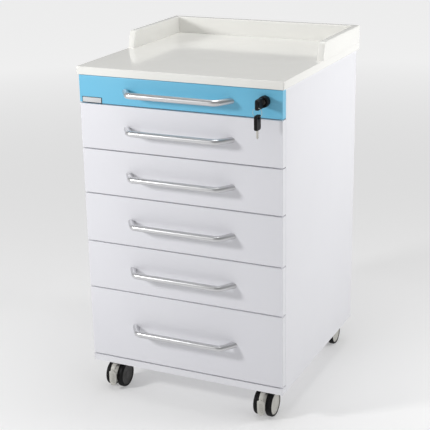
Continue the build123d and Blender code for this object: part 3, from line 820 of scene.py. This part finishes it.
def build_caster(tag):
    node = f"caster_hood_{tag}"
    body = f"caster_{tag}"
    lo, hi = low(node), high(node)
    wheel = middle(f"wheel_{tag}_left")
    centre_x = (lo.x + hi.x) / 2
    toward_swivel = -1 if tag.startswith("r") else 1
    swivel_y = swivel(tag)[1]
    web_half = 6.2 * MM
    head_low = 61.2 * MM
    head_tall = hi.z - head_low
    bore, head_radius = 4.05 * MM, 17 * MM

    outline = [(toward_swivel * u, v) for u, v in hood_outline(wheel.z, head_low)]
    mesh = cut_plate(
        node + "_web", [outline], 2 * web_half, 1.2 * MM,
        lambda u, v, w: (centre_x + w, wheel.y + u, v),
    )
    piece = finish(node + "_web", mesh, GREY, body, 40)
    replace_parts(piece, node)
    head = [
        (0, bore, 0), (head_tall, bore, 0), (head_tall, head_radius, 1.4 * MM),
        (0, head_radius, 1.0 * MM), (0, bore, 0),
    ]
    mesh = lathe_mesh(
        node + "_head", rounded_profile(head)[:-1], along_z((centre_x, swivel_y, head_low)), 72, True
    )
    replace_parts(finish(node + "_head", mesh, GREY, body, 40), node)
    axle = [(0, 0, 0), (0, 3 * MM, 0.5 * MM), (hi.x - lo.x, 3 * MM, 0.5 * MM), (hi.x - lo.x, 0, 0)]
    mesh = lathe_mesh(node + "_axle", rounded_profile(axle), along_x((lo.x, wheel.y, wheel.z)), 32)
    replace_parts(finish(node + "_axle", mesh, ZINC, body, 40), node)
    for word in ("left", "right"):
        build_wheel(tag, word)
    if tag in BRAKED:
        build_pedal(tag)


def hood_outline(axle_z, head_low):
    """Side view of a caster's body, from its axle at u = 0 towards its swivel axis at u = 20 mm."""
    hub, start, turn, steps = 22 * MM, 88, 236, 28
    points = []
    for k in range(steps + 1):
        angle = radians(start + turn * k / steps)
        points.append((hub * cos(angle), axle_z + hub * sin(angle)))
    points += [(29 * MM, 43 * MM), (31 * MM, 50 * MM)]
    points += [(31 * MM, head_low + 1 * MM), (2 * MM, head_low + 1 * MM)]
    return points


def build_pedal(tag):
    """The brake pedal: a slim arm from its pivot, and a wider pad with a roof-shaped top."""
    node = f"brake_pedal_{tag}"
    lo = low(node)
    centre_x = middle(node).x
    wheel = middle(f"wheel_{tag}_left")
    front_y = lo.y
    rows = [
        (wheel.y - 14 * MM, 63.7 * MM, 5.6, 2.5, 0),
        (wheel.y - 19 * MM, 63.2 * MM, 5.6, 2.6, 8),
        (wheel.y - 26 * MM, 59.5 * MM, 5.6, 2.6, 28),
        (front_y + 6.0 * MM, 54 * MM, 5.5, 2.2, 55),
        (front_y + 4.4 * MM, 48.5 * MM, 5.4, 1.6, 80),
        (front_y + 4.2 * MM, 42 * MM, 5.2, 1.2, 90),
        (front_y + 4.2 * MM, 28 * MM, 4.8, 1.2, 90),
        (front_y + 4.2 * MM, 18 * MM, 3.6, 1.0, 90),
    ]
    rings = []
    for y, z, half_w, half_t, tilt in rows:
        out = Vector((0, -sin(radians(tilt)), cos(radians(tilt))))
        ring = []
        for k in range(32):
            across, lift = cos(2 * pi * k / 32), sin(2 * pi * k / 32)
            px = half_w * MM * abs(across) ** 0.5 * (1 if across > 0 else -1)
            pt = half_t * MM * abs(lift) ** 0.6 * (1 if lift > 0 else -1)
            ring.append(Vector((centre_x + px, y, z)) + out * pt)
        rings.append(ring)
    mesh = rings_mesh(node + "_arm", rings)
    piece = finish(node + "_arm", mesh, GREY, f"brake_{tag}", 50)
    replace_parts(piece, node)

    pad = [(-9.4, 46.2), (-9.4, 44), (-9.4, 30), (-8.9, 22), (-7.4, 17), (-4.8, 14.3), (-1.6, 13.1)]
    pad = [(u * MM, v * MM) for u, v in pad]
    outline = pad + [(-u, v) for u, v in reversed(pad)]
    outline += [(1.2 * MM, 52.3 * MM), (-1.2 * MM, 52.3 * MM)]
    mesh = cut_plate(
        node + "_pad", [outline], 3.0 * MM, 1.0 * MM,
        lambda u, v, w: (centre_x + u, front_y + 1.5 * MM + w + 25 * (u * u), v),
    )
    piece = finish(node + "_pad", mesh, GREY, f"brake_{tag}", 50)
    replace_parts(piece, node)
    ribs = []
    for k in range(5):
        z = (21 + 4.6 * k) * MM
        lo_r = (centre_x - 5 * MM, front_y + 0.12 * MM, z)
        hi_r = (centre_x + 5 * MM, front_y + 1.2 * MM, z + 1.2 * MM)
        ribs.append(soften(box_mesh("rib", lo_r, hi_r), 0.4 * MM))
    piece = finish(node + "_ribs", joined(node + "_ribs", ribs), GREY, f"brake_{tag}", 50)
    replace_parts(piece, node)


# ---------------------------------------------------------------- studio
def build_studio():
    bpy.context.scene.view_settings.view_transform = "Standard"
    bpy.context.scene.view_settings.exposure = -0.2
    reach = 15
    corners = [(-reach, -reach, 0), (reach, -reach, 0), (reach, reach, 0), (-reach, reach, 0)]
    floor = mesh_from("studio_floor", corners, [(0, 1, 2, 3)])
    s = Shader("studio_floor_paint", (0.6, 0.6, 0.6), 0.9)
    s.bsdf.inputs["Emission Color"].default_value = (1, 1, 1, 1)
    away = s.node("ShaderNodeVectorMath", operation="LENGTH")
    s.link(s.coords, away.inputs[0])
    s.link(s.remap(away.outputs["Value"], 0.8, 4.0, 0.33, 0.74), s.bsdf.inputs["Emission Strength"])
    s.tint(s.noise(0.8, 2), (0.63, 0.63, 0.63), 0.4)
    floor.materials.append(s.material)
    ground = bpy.data.objects.new("studio_floor", floor)
    bpy.context.scene.collection.objects.link(ground)

    world = bpy.data.worlds.new("studio_world")
    bpy.context.scene.world = world
    world.use_nodes = True
    background = world.node_tree.nodes["Background"]
    background.inputs["Color"].default_value = (1, 1, 1, 1)
    background.inputs["Strength"].default_value = 0.36

    area_light("key_light", (-1.3, -1.45, 1.2), (0, -0.2, 0.6), 0.28, 23)
    area_light("top_light", (0.1, 0.0, 2.6), (0, 0, 0.5), 1.2, 22)
    area_light("fill_right", (1.3, 0.35, 0.94), (0.2, 0.1, 0.65), 0.5, 9)

    camera = bpy.data.objects.new("camera", bpy.data.cameras.new("camera"))
    bpy.context.scene.collection.objects.link(camera)
    camera.data.lens = 94.41
    camera.data.sensor_width = 36
    camera.matrix_world = camera_matrix(
        Vector((1.0633, FRONT_Y - 2.0816, 1.2478)), 0.4399, 0.3251, -0.0192
    )
    bpy.context.scene.camera = camera


def area_light(name, place, aim, size, power):
    data = bpy.data.lights.new(name, "AREA")
    data.size = size
    data.energy = power
    light = bpy.data.objects.new(name, data)
    light.location = place
    light.rotation_euler = (Vector(aim) - Vector(place)).to_track_quat("-Z", "Y").to_euler()
    bpy.context.scene.collection.objects.link(light)


def camera_matrix(place, yaw, pitch, roll):
    """Where the camera stands and looks: yaw to the left of +Y, pitch down, then roll."""
    forward = Vector((-sin(yaw) * cos(pitch), cos(yaw) * cos(pitch), -sin(pitch)))
    right = forward.cross(Vector((0, 0, 1))).normalized()
    up = right.cross(forward)
    right, up = right * cos(roll) + up * sin(roll), up * cos(roll) - right * sin(roll)
    matrix = Matrix((right, up, -forward)).transposed().to_4x4()
    matrix.translation = place
    return matrix


build_worktop()
build_cabinet()
build_drawers()
build_nameplate()
build_lock()
for caster in CASTERS:
    build_caster(caster)
build_studio()
